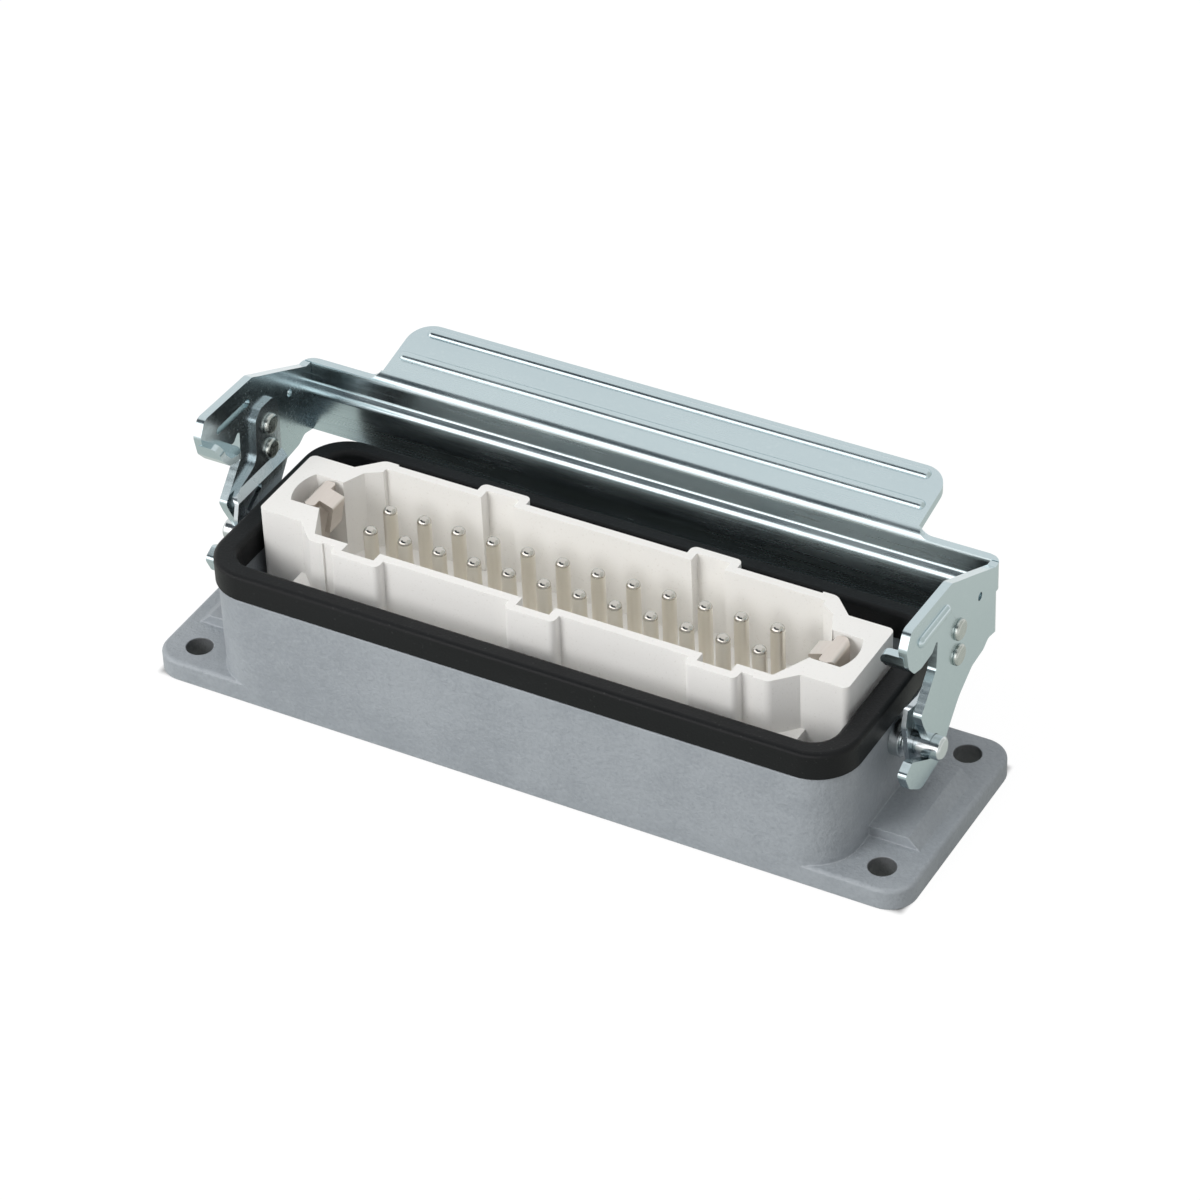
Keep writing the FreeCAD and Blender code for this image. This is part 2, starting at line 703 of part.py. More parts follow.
def make_terminals():
    """Twenty-four terminal blocks, bored for the pin, for the wire and for the clamp screw."""
    pieces = []
    depth = dim("terminal_outer") - dim("terminal_inner")
    for end in (-1, 1):
        for column in range(POLES_PER_ROW):
            name = f"terminal_{len(pieces)}"
            block = document.addObject("Part::Box", f"{name}_block")
            bind(block, "Length", dim("terminal_width"))
            bind(block, "Width", depth)
            bind(block, "Height", dim("terminal_top") - dim("terminal_bottom"))
            bind(block, "Placement.Base.x", -dim("terminal_width") / 2)
            bind(block, "Placement.Base.y", dim("terminal_inner") if end > 0 else -dim("terminal_outer"))
            bind(block, "Placement.Base.z", dim("terminal_bottom"))
            seat = make_cylinder(f"{name}_seat", dim("pin_diameter") + 2 * dim("running_fit"),
                                 dim("terminal_top") - dim("pin_foot"), dim("pin_foot"))
            bind(seat, "Placement.Base.y", dim("row_offset") * end)
            wire = make_cylinder(f"{name}_wire", dim("wire_hole"), dim("wire_hole_depth"),
                                 dim("terminal_bottom"))
            bind(wire, "Placement.Base.y", dim("wire_row") * end)
            thread = make_cylinder(f"{name}_thread", dim("clamp_thread"),
                                   dim("terminal_outer") - dim("wire_row"), 0)
            put(thread, (0, end, 0), 0, dim("wire_row") * end, dim("clamp_height"))
            bores = document.addObject("Part::MultiFuse", f"{name}_bores")
            bores.Shapes = [seat, wire, thread]
            terminal = document.addObject("Part::Cut", name)
            terminal.Base = block
            terminal.Tool = bores
            bind(terminal, "Placement.Base.x", dim("pin_pitch") * column - first_pin)
            pieces.append(terminal)
    return gather("terminal_blocks", pieces)


def make_insert_screws():
    """Four screws that hold the insert's earth plates down on the housing's bosses."""
    pieces = []
    for side, end in CORNERS:
        name = f"insert_screw_{len(pieces)}"
        screw = make_screw(name, screw_shank, dim("screw_depth"), dim("screw_head"),
                           dim("screw_head_height"))
        screw = cut_slot(name, screw, dim("screw_head"), dim("screw_head_height"))
        pieces.append(put(screw, (0, 0, 1), screw_x * side, screw_y * end, plate_top))
    return gather("insert_screws", pieces)


def make_earth_screws():
    """Two screws that clamp the earth wire to the tabs below the end blocks."""
    pieces = []
    for side in (-1, 1):
        name = f"earth_screw_{len(pieces)}"
        screw = make_screw(name, screw_shank, dim("screw_reach"), dim("earth_screw_head"),
                           dim("earth_screw_head_height"))
        screw = cut_slot(name, screw, dim("earth_screw_head"), dim("earth_screw_head_height"))
        pieces.append(put(screw, (side, 0, 0), (half_insert + dim("earth_plate")) * side, 0,
                          dim("earth_screw_height")))
    return gather("earth_screws", pieces)


def make_terminal_screws():
    """Twenty-four clamp screws, one in each terminal, reached from the insert's long sides."""
    pieces = []
    shank = dim("clamp_thread") - 2 * dim("running_fit")
    length = dim("terminal_outer") - dim("wire_row")
    for end in (-1, 1):
        for column in range(POLES_PER_ROW):
            screw = make_screw(f"terminal_screw_{len(pieces)}", shank, length, dim("clamp_head"),
                               dim("clamp_head_height"))
            pieces.append(put(screw, (0, end, 0), dim("pin_pitch") * column - first_pin,
                              dim("terminal_outer") * end, dim("clamp_height")))
    return gather("terminal_screws", pieces)


def make_earth_contact(side):
    """Earth contact: a plate on the bosses, a riser through the end block and a hooked leaf."""
    body = new_body(f"earth_contact_{side_name(side)}")
    thickness = dim("earth_sheet")
    half_plate = cavity_y - dim("earth_plate_clearance")
    plate_end = cavity_x - dim("earth_plate_margin")
    sketch = new_sketch(body, "plate", "XY_Plane", dim("boss_height"))
    draw_rectangle(sketch, half_insert * side, plate_end * side, -half_plate, half_plate)
    pad(body, sketch, dim("earth_plate"))
    round_edges(body, dim("body_corner") - dim("wall") - dim("earth_plate_margin"),
                lambda edge: is_upright(edge) and near(edge.CenterOfMass.x, plate_end.value * side))
    sketch = new_sketch(body, "plate_holes", "XY_Plane", plate_top)
    for end in (-1, 1):
        draw_circle(sketch, screw_x * side, screw_y * end, dim("screw_thread"))
    pocket(body, sketch)
    half_tab = dim("earth_tab_width") / 2
    sketch = new_sketch(body, "tab", "XY_Plane", plate_top)
    draw_rectangle(sketch, half_insert * side, (half_insert + dim("earth_plate")) * side,
                   -half_tab, half_tab)
    pad(body, sketch, dim("earth_plate") + dim("earth_tab_length"), reverse=True)
    sketch = new_sketch(body, "tab_hole", "YZ_Plane")
    draw_circle(sketch, 0, dim("earth_screw_height"), dim("screw_thread"))
    pocket(body, sketch, midplane=True)
    foot = plate_top - dim("earth_plate") / 2
    under = leaf_top - thickness
    corners = [(leaf_outer, foot), (leaf_outer, leaf_top), (leaf_inner, leaf_top),
               (leaf_inner, under), (leaf_outer - thickness, under),
               (leaf_outer - thickness, foot)]
    sketch = new_sketch(body, "riser", "XZ_Plane")
    draw_polygon(sketch, [(across * side, up) for across, up in corners])
    pad(body, sketch, dim("earth_riser_width"), midplane=True)
    root = leaf_inner + thickness / 2
    tip = leaf_inner - dim("earth_tongue_length")
    bend = leaf_top - dim("earth_tongue_drop")
    hook_x = tip + dim("earth_hook_return")
    hook_z = bend - dim("earth_hook_length")
    corners = [(root, leaf_top), (leaf_inner, leaf_top), (tip, bend), (hook_x, hook_z),
               (hook_x + thickness, hook_z), (tip + thickness, bend - thickness),
               (leaf_inner, under), (root, under)]
    sketch = new_sketch(body, "tongue", "XZ_Plane")
    draw_polygon(sketch, [(across * side, up) for across, up in corners])
    pad(body, sketch, dim("earth_tongue_width"), midplane=True)
    half_leaf = dim("earth_leaf_width") / 2
    half_riser = dim("earth_riser_width") / 2
    half = [(leaf_outer, half_riser), (leaf_outer - thickness, half_leaf), (leaf_inner, half_leaf)]
    corners = half + [(across, -back) for across, back in reversed(half)]
    sketch = new_sketch(body, "leaf", "XY_Plane", leaf_top)
    draw_polygon(sketch, [(across * side, back) for across, back in corners])
    pad(body, sketch, thickness, reverse=True)
    round_edges(body, dim("earth_bend"), lambda edge: edge.BoundBox.YLength > thickness.value
                and edge.BoundBox.XLength < 0.01 and near(abs(edge.BoundBox.XMin), leaf_outer.value)
                and lies_at(edge, leaf_top))
    round_edges(body, dim("earth_bend") / 2, lambda edge: edge.BoundBox.YLength > thickness.value
                and edge.BoundBox.XLength < 0.01 and near(abs(edge.BoundBox.XMin), tip.value)
                and lies_at(edge, bend))
    round_edges(body, dim("earth_leaf_corner"), lambda edge: is_upright(edge)
                and near(abs(edge.BoundBox.XMin), leaf_inner.value)
                and near(abs(edge.BoundBox.YMin), half_leaf.value))
    return body


def make_peg(side):
    """Turned pivot peg, pressed through the end wall up to its collar."""
    body = new_body(f"pivot_peg_{side_name(side)}")
    shank = dim("peg_diameter") / 2
    collar = dim("peg_collar") / 2
    edge = dim("peg_edge")
    collar_end = half_body + dim("peg_collar_width")
    corners = [(cavity_x, 0), (peg_end, 0), (peg_end, shank - edge), (peg_end - edge, shank),
               (collar_end, shank), (collar_end, collar), (half_body, collar), (half_body, shank),
               (cavity_x, shank)]
    sketch = new_sketch(body, "profile", "XZ_Plane")
    draw_polygon(sketch, [(across * side, up) for across, up in corners])
    revolve(body, sketch, "H_Axis")
    bind(body, "Placement.Base.z", pivot_height)
    return body


# The lever's side view, each corner with its radius. The lists of the hook, mouth and tail count
# back and up from the pivot; those of the web and the arm's rear count back from the web's front.

HOOK_TOP = [(-8.4, 28.9, 1.6), (6.5, 28.4, 2.0), (8.5, 27.4, 2.0), (14.9, 24.4, 6.0)]
ARM_REAR = [(-0.6, 20.5, 0), (0.75, 20.5, 0), (0.75, 6.9, 0), (-2.9, 7.7, 1.5), (-4.8, 6.6, 2.0),
            (-9.1, 6.2, 3.0)]
ARM_LOWER = [(9.6, 3.4, 8.0), (5.4, -1.0, 3.0), (3.4, -4.6, 3.0)]
TAIL = [(-4.4, -5.8, 3.0), (-8.7, -2.6, 2.0), (-10.3, 0.8, 1.0), (-7.7, 2.1, 0.8), (-1.4, -1.7, 0.5)]
UPPER_TINE = [(-1.1, 1.8, 0.5), (-3.6, 6.6, 1.0), (-4.6, 9.0, 1.0), (-0.6, 13.4, 1.0),
              (0.9, 15.0, 1.0)]
HOOK_SLOT = [(1.4, 21.2, 0.9), (-0.5, 19.4, 0.6), (-4.6, 19.1, 2.0), (-7.2, 19.8, 1.6)]
HOOK_NOSE = [(-9.2, 22.1, 1.6), (-10.0, 26.0, 1.5)]
LIP = [(-9.8, 24.4, 0), (-9.2, 22.1, 1.6), (-7.2, 19.8, 1.6), (-4.6, 19.1, 2.0), (-2.4, 19.2, 0),
       (-2.4, 20.4, 0), (-4.7, 20.4, 1.0), (-6.5, 20.9, 1.0), (-8.0, 22.6, 1.0), (-8.5, 24.7, 0)]
NECK_RIB = (-4.6, 24.4)
DRAIN_HOLE = (17.2, 18.5)
RIVETS = ((9.2, 17.4), (8.9, 12.5))

WEB_FRONT = [(0.0, 6.9, 0), (-0.4, 15.3, 1.8), (0.85, 16.55, 0.8), (0.85, 21.5, 2.2)]
SHOULDER_TRIM = 1.05
HANDLE_SLOPE = 0.215
HANDLE_RIBS = ((6.7, 2.0), (13.1, 4.0))

SPRING = [(5.2, 20.4, 1.4), (7.0, 21.9, 1.4), (11.2, 21.9, 1.8), (12.4, 19.5, 1.0),
          (12.2, 9.0, 3.0), (4.8, -0.6, 2.0), (3.0, -3.6, 2.0), (-2.6, -3.8, 2.0),
          (-4.6, 6.0, 1.2), (-3.6, 9.6, 1.2), (4.4, 12.2, 3.0)]
SPRING_SLOT = ((-0.6, 6.4), (2.8, 8.4))
JOGGLE = (10.2, 8.9)

web_back = half_width + dim("web_gap")


# The most of a side that one rounded corner may take, and the inner radius of a sharp fold

CORNER_SHARE = 0.49
TIGHT_FOLD = 0.2


def unit(vector):
    """Give a vector the length of one."""
    return vector * (1 / vector.Length)


def rounded_outline(corners, across):
    """Make a closed wire in the plane at X = across; a corner with a radius gets a tangent arc."""
    points = [FreeCAD.Vector(across, back, up) for back, up, radius in corners]
    count = len(points)
    cuts = []
    for i, (back, up, radius) in enumerate(corners):
        before = points[i - 1] - points[i]
        after = points[(i + 1) % count] - points[i]
        half = before.getAngle(after) / 2
        room = CORNER_SHARE * min(before.Length, after.Length)
        reach = min(radius / math.tan(half), room)
        bow = reach * math.tan(half)
        middle = points[i]
        if radius > 0:
            middle = points[i] + unit(unit(before) + unit(after)) * (bow / math.sin(half) - bow)
        cuts.append((points[i] + unit(before) * reach, middle, points[i] + unit(after) * reach))
    edges = []
    for i, (start, middle, end) in enumerate(cuts):
        if (end - start).Length > 0.001:
            edges.append(Part.Arc(start, middle, end).toShape())
        following = cuts[(i + 1) % count][0]
        if (following - end).Length > 0.001:
            edges.append(Part.LineSegment(end, following).toShape())
    return Part.Wire(edges)


def sheet_piece(corners, across, thickness):
    """Make a flat sheet piece from its outline, between two planes along X."""
    face = Part.Face(rounded_outline(corners, across))
    return face.extrude(FreeCAD.Vector(thickness, 0, 0))


def folded_profile(path, thickness):
    """Make the closed section of a folded sheet from the path of its front face."""
    points = [FreeCAD.Vector(0, back, up) for back, up, radius in path]
    ways = [unit(points[i + 1] - points[i]) for i in range(len(points) - 1)]
    behind = []
    front = []
    for i, (back, up, radius) in enumerate(path):
        first = ways[max(i - 1, 0)]
        second = ways[min(i, len(ways) - 1)]
        normal = FreeCAD.Vector(0, first.z, -first.y) + FreeCAD.Vector(0, second.z, -second.y)
        shift = normal * (2 * thickness / normal.Length ** 2)
        bends_back = second.dot(FreeCAD.Vector(0, first.z, -first.y)) > 0
        inner_radius = max(radius - thickness, thickness * TIGHT_FOLD) if bends_back else radius + thickness
        front.append((back, up, radius))
        behind.append((back + shift.y, up + shift.z, inner_radius if radius else 0))
    return front + behind[::-1]


def placed(corners, back, up):
    """Move corners given from a reference point to their place on the connector."""
    return [(corner[0] + back, corner[1] + up, corner[2]) for corner in corners]


def stadium(first, last, width, height):
    """Make a bar with round ends from one point to another, its thickness along a direction."""
    way = unit(last - first)
    side = unit(height.cross(way)) * (width / 2)
    tip = way * (width / 2)
    wire = Part.Wire([
        Part.LineSegment(first + side, last + side).toShape(),
        Part.Arc(last + side, last + tip, last - side).toShape(),
        Part.LineSegment(last - side, first - side).toShape(),
        Part.Arc(first - side, first - tip, first + side).toShape(),
    ])
    return Part.Face(wire).extrude(height)


def emboss(shape, first, last, normal):
    """Press a rib out of a sheet: a rounded bar on one face and its hollow on the other."""
    height = dim("rib_height").value
    width = dim("rib_width").value
    bar = stadium(first - normal * height, last - normal * height, width, normal * (2 * height))
    crown = [edge for edge in bar.Edges
             if all(near((point.Point - first).dot(normal), height) for point in edge.Vertexes)]
    bar = bar.makeFillet(dim("rib_crown").value, crown)
    back = normal * dim("lever_sheet").value
    hollow = stadium(first - back, last - back, dim("rib_hollow").value, normal * height)
    return shape.fuse(bar).cut(hollow)


def across_holes(places, diameter):
    """Make the cutters of round holes that run along X through the whole connector."""
    half = peg_end.value
    return [Part.makeCylinder(diameter / 2, 2 * half, FreeCAD.Vector(-half, back, up),
                              FreeCAD.Vector(1, 0, 0)) for back, up in places]


def keep_shape(name, shape):
    """Store a shape as a piece of the document."""
    piece = document.addObject("Part::Feature", name)
    piece.Label = name
    piece.Shape = shape
    piece.Placement = FreeCAD.Placement()
    return piece


def rounding(across, back, side, radius, low, high):
    """Make the tool that rounds an upright corner at the back, at one end of the connector."""
    size = 2 * radius
    centre = FreeCAD.Vector(across - side * radius, back - radius, low)
    start = FreeCAD.Vector(centre.x if side > 0 else centre.x - size, centre.y, low)
    block = Part.makeBox(size, size, high - low, start)
    return block.cut(Part.makeCylinder(radius, high - low, centre))


def make_lever():
    """Locking lever, one folded sheet: ribbed web and handle, two arms with hook and open eye."""
    thickness = dim("lever_sheet").value
    pivot = pivot_height.value
    outer = arm_outer.value
    web_y = web_back.value
    root_y, root_z = WEB_FRONT[-1][:2]
    depth = dim("handle_depth").value
    edge = (depth, root_z + (depth - root_y) * HANDLE_SLOPE, 0)
    profile = folded_profile(placed(WEB_FRONT + [edge], web_y, pivot), thickness)
    lever = sheet_piece(profile, -outer, 2 * outer)

    # The arms stand in front of the web's ends
    outline = placed(HOOK_TOP, 0, pivot) + placed(ARM_REAR, web_y, pivot)
    outline += placed(ARM_LOWER + TAIL + [(0.0, 0.0, 0)] + UPPER_TINE + HOOK_SLOT + HOOK_NOSE, 0, pivot)
    arms = [sheet_piece(outline, start, thickness) for start in (-outer, outer - thickness)]
    lever = lever.fuse(arms)

    # Past the handle's ends the sheet stops at the top of the web
    handle_half = outer - dim("handle_setback").value
    web_top = pivot + ARM_REAR[0][1]
    room = 2 * depth
    for side in (-1, 1):
        corner = FreeCAD.Vector(handle_half if side > 0 else -handle_half - room,
                                web_y - thickness / 2, web_top)
        relief = Part.makeBox(room, room, room, corner)
        inner = [item for item in relief.Edges if lies_at(item, as_size(web_top))
                 and near(item.BoundBox.Center.x, side * handle_half)]
        lever = lever.cut(relief.makeFillet(dim("handle_root_radius").value, inner))
        shoulder_y = web_y + WEB_FRONT[3][0] + SHOULDER_TRIM * thickness
        corner = FreeCAD.Vector(corner.x, shoulder_y, web_top - room)
        lever = lever.cut(Part.makeBox(room, room, 2 * room, corner))

    # Rounded corners of the handle, and the bends between the web and the arms
    front_corner = web_y + depth
    bend_low = pivot + WEB_FRONT[0][1]
    ridge = pivot + WEB_FRONT[1][1]
    for side in (-1, 1):
        lever = lever.cut(rounding(side * handle_half, front_corner, side, dim("handle_corner").value,
                                   web_top, web_top + room))
        lever = lever.cut(rounding(side * outer, web_y + thickness, side, dim("bend_radius").value,
                                   bend_low - thickness, ridge))
        lever = lever.cut(rounding(side * outer, web_y + thickness + WEB_FRONT[3][0], side,
                                   dim("bend_radius").value, ridge, web_top + thickness))

    # Pressed ribs along the handle and on the hooks' necks
    slope = unit(FreeCAD.Vector(0, 1, HANDLE_SLOPE))
    normal = FreeCAD.Vector(0, -slope.z, slope.y)
    for back, inset in HANDLE_RIBS:
        half = handle_half - inset
        up = pivot + root_z + (back - root_y) * HANDLE_SLOPE
        lever = emboss(lever, FreeCAD.Vector(-half, web_y + back, up),
                       FreeCAD.Vector(half, web_y + back, up), normal)
    for side in (-1, 1):
        start = FreeCAD.Vector(side * outer, NECK_RIB[0], pivot + NECK_RIB[1])
        end = start + FreeCAD.Vector(0, dim("neck_rib_length").value, 0)
        lever = emboss(lever, start, end, FreeCAD.Vector(side, 0, 0))

    # Guide lips of the hooks, and the holes of pegs and rivets
    reach = dim("lip_reach").value
    inside = outer - thickness - reach
    for side in (-1, 1):
        lip = sheet_piece(placed(LIP, 0, pivot), min(side * inside, side * (outer - thickness / 2)),
                          reach + thickness / 2)
        ends = [edge for edge in lip.Edges if edge.BoundBox.XLength < 0.01
                and near(edge.CenterOfMass.x, side * inside) and (
                    near(edge.BoundBox.ZMin, pivot + LIP[0][1], thickness)
                    or near(edge.BoundBox.YMin, LIP[4][0]))]
        lever = lever.fuse(lip.makeFillet(dim("lip_corner").value, ends))
    eye = dim("peg_diameter").value + 2 * dim("pivot_clearance").value
    cutters = across_holes([(0, pivot)], eye)
    rivet_hole = (dim("rivet_shank") + 2 * dim("running_fit")).value
    cutters += across_holes([(back, up + pivot) for back, up in RIVETS], rivet_hole)
    cutters += across_holes([(DRAIN_HOLE[0], DRAIN_HOLE[1] + pivot)], dim("drain_hole").value)
    lever = lever.cut(cutters).removeSplitter()
    return keep_shape("locking_lever", lever)


def make_leaf_spring(side):
    """Leaf spring, riveted inside an arm: its lower half steps inwards and rides on the peg."""
    thickness = dim("spring_sheet").value
    step = dim("spring_joggle").value
    pivot = pivot_height.value
    outer = arm_inner.value
    high, low = (pivot + up for up in JOGGLE)
    top = pivot + SPRING[1][1] + thickness
    section = [(outer, top), (outer, high), (outer - step, low), (outer - step, 0),
               (outer - step - thickness, 0), (outer - step - thickness, low + thickness / 4),
               (outer - thickness, high + thickness / 4), (outer - thickness, top)]
    wide = SPRING[-1][0] + SPRING[3][0]
    points = [FreeCAD.Vector(across, -wide, up) for across, up in section]
    folded = Part.Face(Part.makePolygon(points + points[:1])).extrude(FreeCAD.Vector(0, 2 * wide, 0))
    blank = sheet_piece(placed(SPRING, 0, pivot), outer - step - 2 * thickness,
                        step + 3 * thickness)
    spring = folded.common(blank)
    eye = dim("peg_diameter").value + 2 * dim("pivot_clearance").value
    rivet_hole = (dim("rivet_shank") + 2 * dim("running_fit")).value
    cutters = across_holes([(0, pivot)], eye)
    cutters += across_holes([(back, up + pivot) for back, up in RIVETS], rivet_hole)
    ends = [FreeCAD.Vector(0, back, up + pivot) for back, up in SPRING_SLOT]
    cutters.append(stadium(ends[0], ends[1], dim("drain_hole").value, FreeCAD.Vector(2 * outer, 0, 0)))
    spring = spring.cut(cutters).removeSplitter()
    if side < 0:
        spring = spring.mirror(FreeCAD.Vector(), FreeCAD.Vector(1, 0, 0))
    return keep_shape(f"leaf_spring_{side_name(side)}", spring)


def make_rivets():
    """Four domed rivets that hold the springs to the arms."""
    pieces = []
    grip = dim("lever_sheet") + dim("spring_sheet")
    height = dim("rivet_head_height")
    for side in (-1, 1):
        for back, up in RIVETS:
            name = f"rivet_{len(pieces)}"
            heads = document.addObject("Part::MultiFuse", name)
            heads.Shapes = [
                make_cylinder(f"{name}_shank", dim("rivet_shank"), grip, -grip),
                make_cylinder(f"{name}_head", dim("rivet_head"), height, 0),
                make_cylinder(f"{name}_upset", dim("rivet_head"), height, -grip - height),
            ]
            document.recompute()
            rounded = document.addObject("Part::Fillet", f"{name}_domed")
            rounded.Base = heads
            ends = (height.value, -(grip + height).value)
            radius = dim("rivet_dome").value
            rounded.Edges = [(i, radius, radius) for i, edge in enumerate(heads.Shape.Edges, start=1)
                             if any(near(edge.BoundBox.ZMin, end) and near(edge.BoundBox.ZMax, end)
                                    for end in ends)]
            pieces.append(put(rounded, (side, 0, 0), arm_outer * side, back, pivot_height + up))
    return gather("lever_rivets", pieces)


def check_document():
    """Refuse to write anything when an object of the document has failed."""
    for item in document.Objects:
        if "Invalid" in item.State or "Error" in item.State:
            raise RuntimeError(f"{item.Name} is {item.State}")


os.makedirs("parts", exist_ok=True)
pieces = [make_housing(), make_rim_gasket(), make_panel_seal(), make_insert()]
for number in range(2 * POLES_PER_ROW):
    column = number % POLES_PER_ROW
    pieces.append(make_contact(number + 1, column, -1 if number < POLES_PER_ROW else 1))
pieces += [make_terminals(), make_terminal_screws(), make_insert_screws(), make_earth_screws()]
pieces += [make_lever(), make_rivets()]
for side in (-1, 1):
    pieces += [make_earth_contact(side), make_peg(side), make_leaf_spring(side)]

document.recompute()
check_document()
for piece in pieces:
    if piece.Shape.isNull() or not piece.Shape.isValid():
        raise RuntimeError(f"{piece.Label} has no sound shape")
    piece.Shape.exportStep(f"parts/{piece.Label}.step")
    print(piece.Label, len(piece.Shape.Solids), round(piece.Shape.Volume, 1))
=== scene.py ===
import math
import bmesh
import bpy
from mathutils import Matrix, Vector


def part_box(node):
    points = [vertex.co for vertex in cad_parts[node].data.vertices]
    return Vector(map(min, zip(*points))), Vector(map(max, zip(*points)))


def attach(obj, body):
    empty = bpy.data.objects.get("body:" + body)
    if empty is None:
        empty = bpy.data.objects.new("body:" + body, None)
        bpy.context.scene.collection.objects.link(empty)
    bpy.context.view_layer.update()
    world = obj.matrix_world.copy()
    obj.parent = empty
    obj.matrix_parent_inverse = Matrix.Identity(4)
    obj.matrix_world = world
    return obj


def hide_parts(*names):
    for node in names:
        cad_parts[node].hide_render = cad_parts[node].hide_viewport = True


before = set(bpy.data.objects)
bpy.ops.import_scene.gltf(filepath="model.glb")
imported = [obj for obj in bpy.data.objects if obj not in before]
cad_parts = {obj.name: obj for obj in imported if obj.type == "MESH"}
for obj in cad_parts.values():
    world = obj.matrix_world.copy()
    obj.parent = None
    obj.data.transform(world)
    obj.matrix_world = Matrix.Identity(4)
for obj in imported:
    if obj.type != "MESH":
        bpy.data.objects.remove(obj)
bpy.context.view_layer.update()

# Housing. A die-cast aluminium box on a flange, sprayed with a grey textured paint.
# The casting's edges are a little rounded and the paint is mottled and faintly pitted.
# The insides of the four fixing holes are coloured near black as painted shade.
mm = 0.001


class Number:
    """A value in a node tree, which Python's arithmetic turns into Math nodes."""

    def __init__(self, wiring, socket):
        self.wiring, self.socket = wiring, socket

    def math(self, operation, *values):
        return self.wiring.number("ShaderNodeMath", {"operation": operation}, values)

    def __add__(self, other):
        return self.math("ADD", self, other)

    def __sub__(self, other):
        return self.math("SUBTRACT", self, other)

    def __rsub__(self, other):
        return self.math("SUBTRACT", other, self)

    def __mul__(self, other):
        return self.math("MULTIPLY", self, other)

    def __abs__(self):
        return self.math("ABSOLUTE", self)

    __radd__, __rmul__ = __add__, __mul__

    def clamped(self):
        """The value held between 0 and 1."""
        return self.wiring.number("ShaderNodeClamp", {}, {"Value": self})


class Wiring:
    """The node tree of a material or a world, written from Python."""

    def __init__(self, owner):
        owner.use_nodes = True
        self.tree = owner.node_tree
        self.tree.nodes.clear()

    def node(self, kind, settings=None, sockets=()):
        """A node with its settings made first, and then its sockets' values or links."""
        node = self.tree.nodes.new(kind)
        for key, value in (settings or {}).items():
            setattr(node, key, value)
        pairs = sockets.items() if isinstance(sockets, dict) else enumerate(sockets)
        for key, value in pairs:
            socket = node.inputs[key]
            value = value.socket if isinstance(value, Number) else value
            if isinstance(value, bpy.types.NodeSocket):
                self.tree.links.new(value, socket)
            elif socket.type == "RGBA" and len(value) == 3:
                socket.default_value = (*value, 1)
            else:
                socket.default_value = value
        return node

    def number(self, kind, settings=None, sockets=(), output=0):
        """A node's output, ready for arithmetic."""
        return Number(self, self.node(kind, settings, sockets).outputs[output])


class Finish(Wiring):
    """A procedural material on Object coordinates."""

    def __init__(self, name):
        self.material = bpy.data.materials.new(name)
        super().__init__(self.material)
        self.place = self.node("ShaderNodeTexCoord").outputs["Object"]

    def axis(self, name):
        """One coordinate of the place, in metres."""
        return self.number("ShaderNodeSeparateXYZ", {}, [self.place], output=name)

    def stretched(self, scale):
        """The object's place, scaled by its own amount along each axis."""
        return self.node("ShaderNodeMapping", {}, {"Vector": self.place, "Scale": scale}).outputs[0]

    def noise(self, scale, detail, roughness, place=None):
        """A noise with that many waves a metre, on the plain place or a stretched one."""
        return self.number("ShaderNodeTexNoise", {}, {
            "Vector": place or self.place, "Scale": scale, "Detail": detail,
            "Roughness": roughness})

    def band(self, value, low, high, out_low=0.0, out_high=1.0):
        """The value's range low to high, carried over smoothly to another range."""
        return self.number("ShaderNodeMapRange", {"interpolation_type": "SMOOTHSTEP"}, {
            "Value": value, "From Min": low, "From Max": high,
            "To Min": out_low, "To Max": out_high})

    def gloss(self, tone, smooth, rough):
        """A roughness that goes from smooth to rough over a noise's middle range."""
        return self.band(tone, 0.3, 0.7, smooth, rough)

    def blend(self, factor, first, second):
        """Two colours mixed by a number."""
        sockets = {0: factor, 6: first, 7: second}
        return self.node("ShaderNodeMix", {"data_type": "RGBA"}, sockets).outputs[2]

    def relief(self, height, depth, normal=None):
        """A bump of that many metres, over an earlier one where given."""
        sockets = {"Height": height, "Distance": depth, "Strength": 1.0}
        if normal:
            sockets["Normal"] = normal
        return self.node("ShaderNodeBump", {}, sockets).outputs[0]

    def surfaced(self, surface):
        """The material, with that shader as its surface."""
        self.node("ShaderNodeOutputMaterial", {}, [surface.outputs[0]])
        return self.material

    def shader(self, **sockets):
        """The material with a Principled surface: names have underscores for spaces."""
        named = {key.replace("_", " "): value for key, value in sockets.items()}
        return self.surfaced(self.node("ShaderNodeBsdfPrincipled", {}, named))


def placed(name, data):
    """An object of that name in the scene, at the origin."""
    made = bpy.data.objects.new(name, data)
    bpy.context.collection.objects.link(made)
    return made


def coated(mesh, material):
    """The mesh with that material alone."""
    mesh.materials.clear()
    mesh.materials.append(material)


def finished(piece, body, slot, *nodes):
    """The piece with its modifiers made plain mesh, on a body, in the place of its nodes."""
    view = bpy.context.evaluated_depsgraph_get()
    mesh = bpy.data.meshes.new_from_object(piece.evaluated_get(view))
    piece.modifiers.clear()
    piece.data = mesh
    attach(piece, body)
    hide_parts(*nodes)


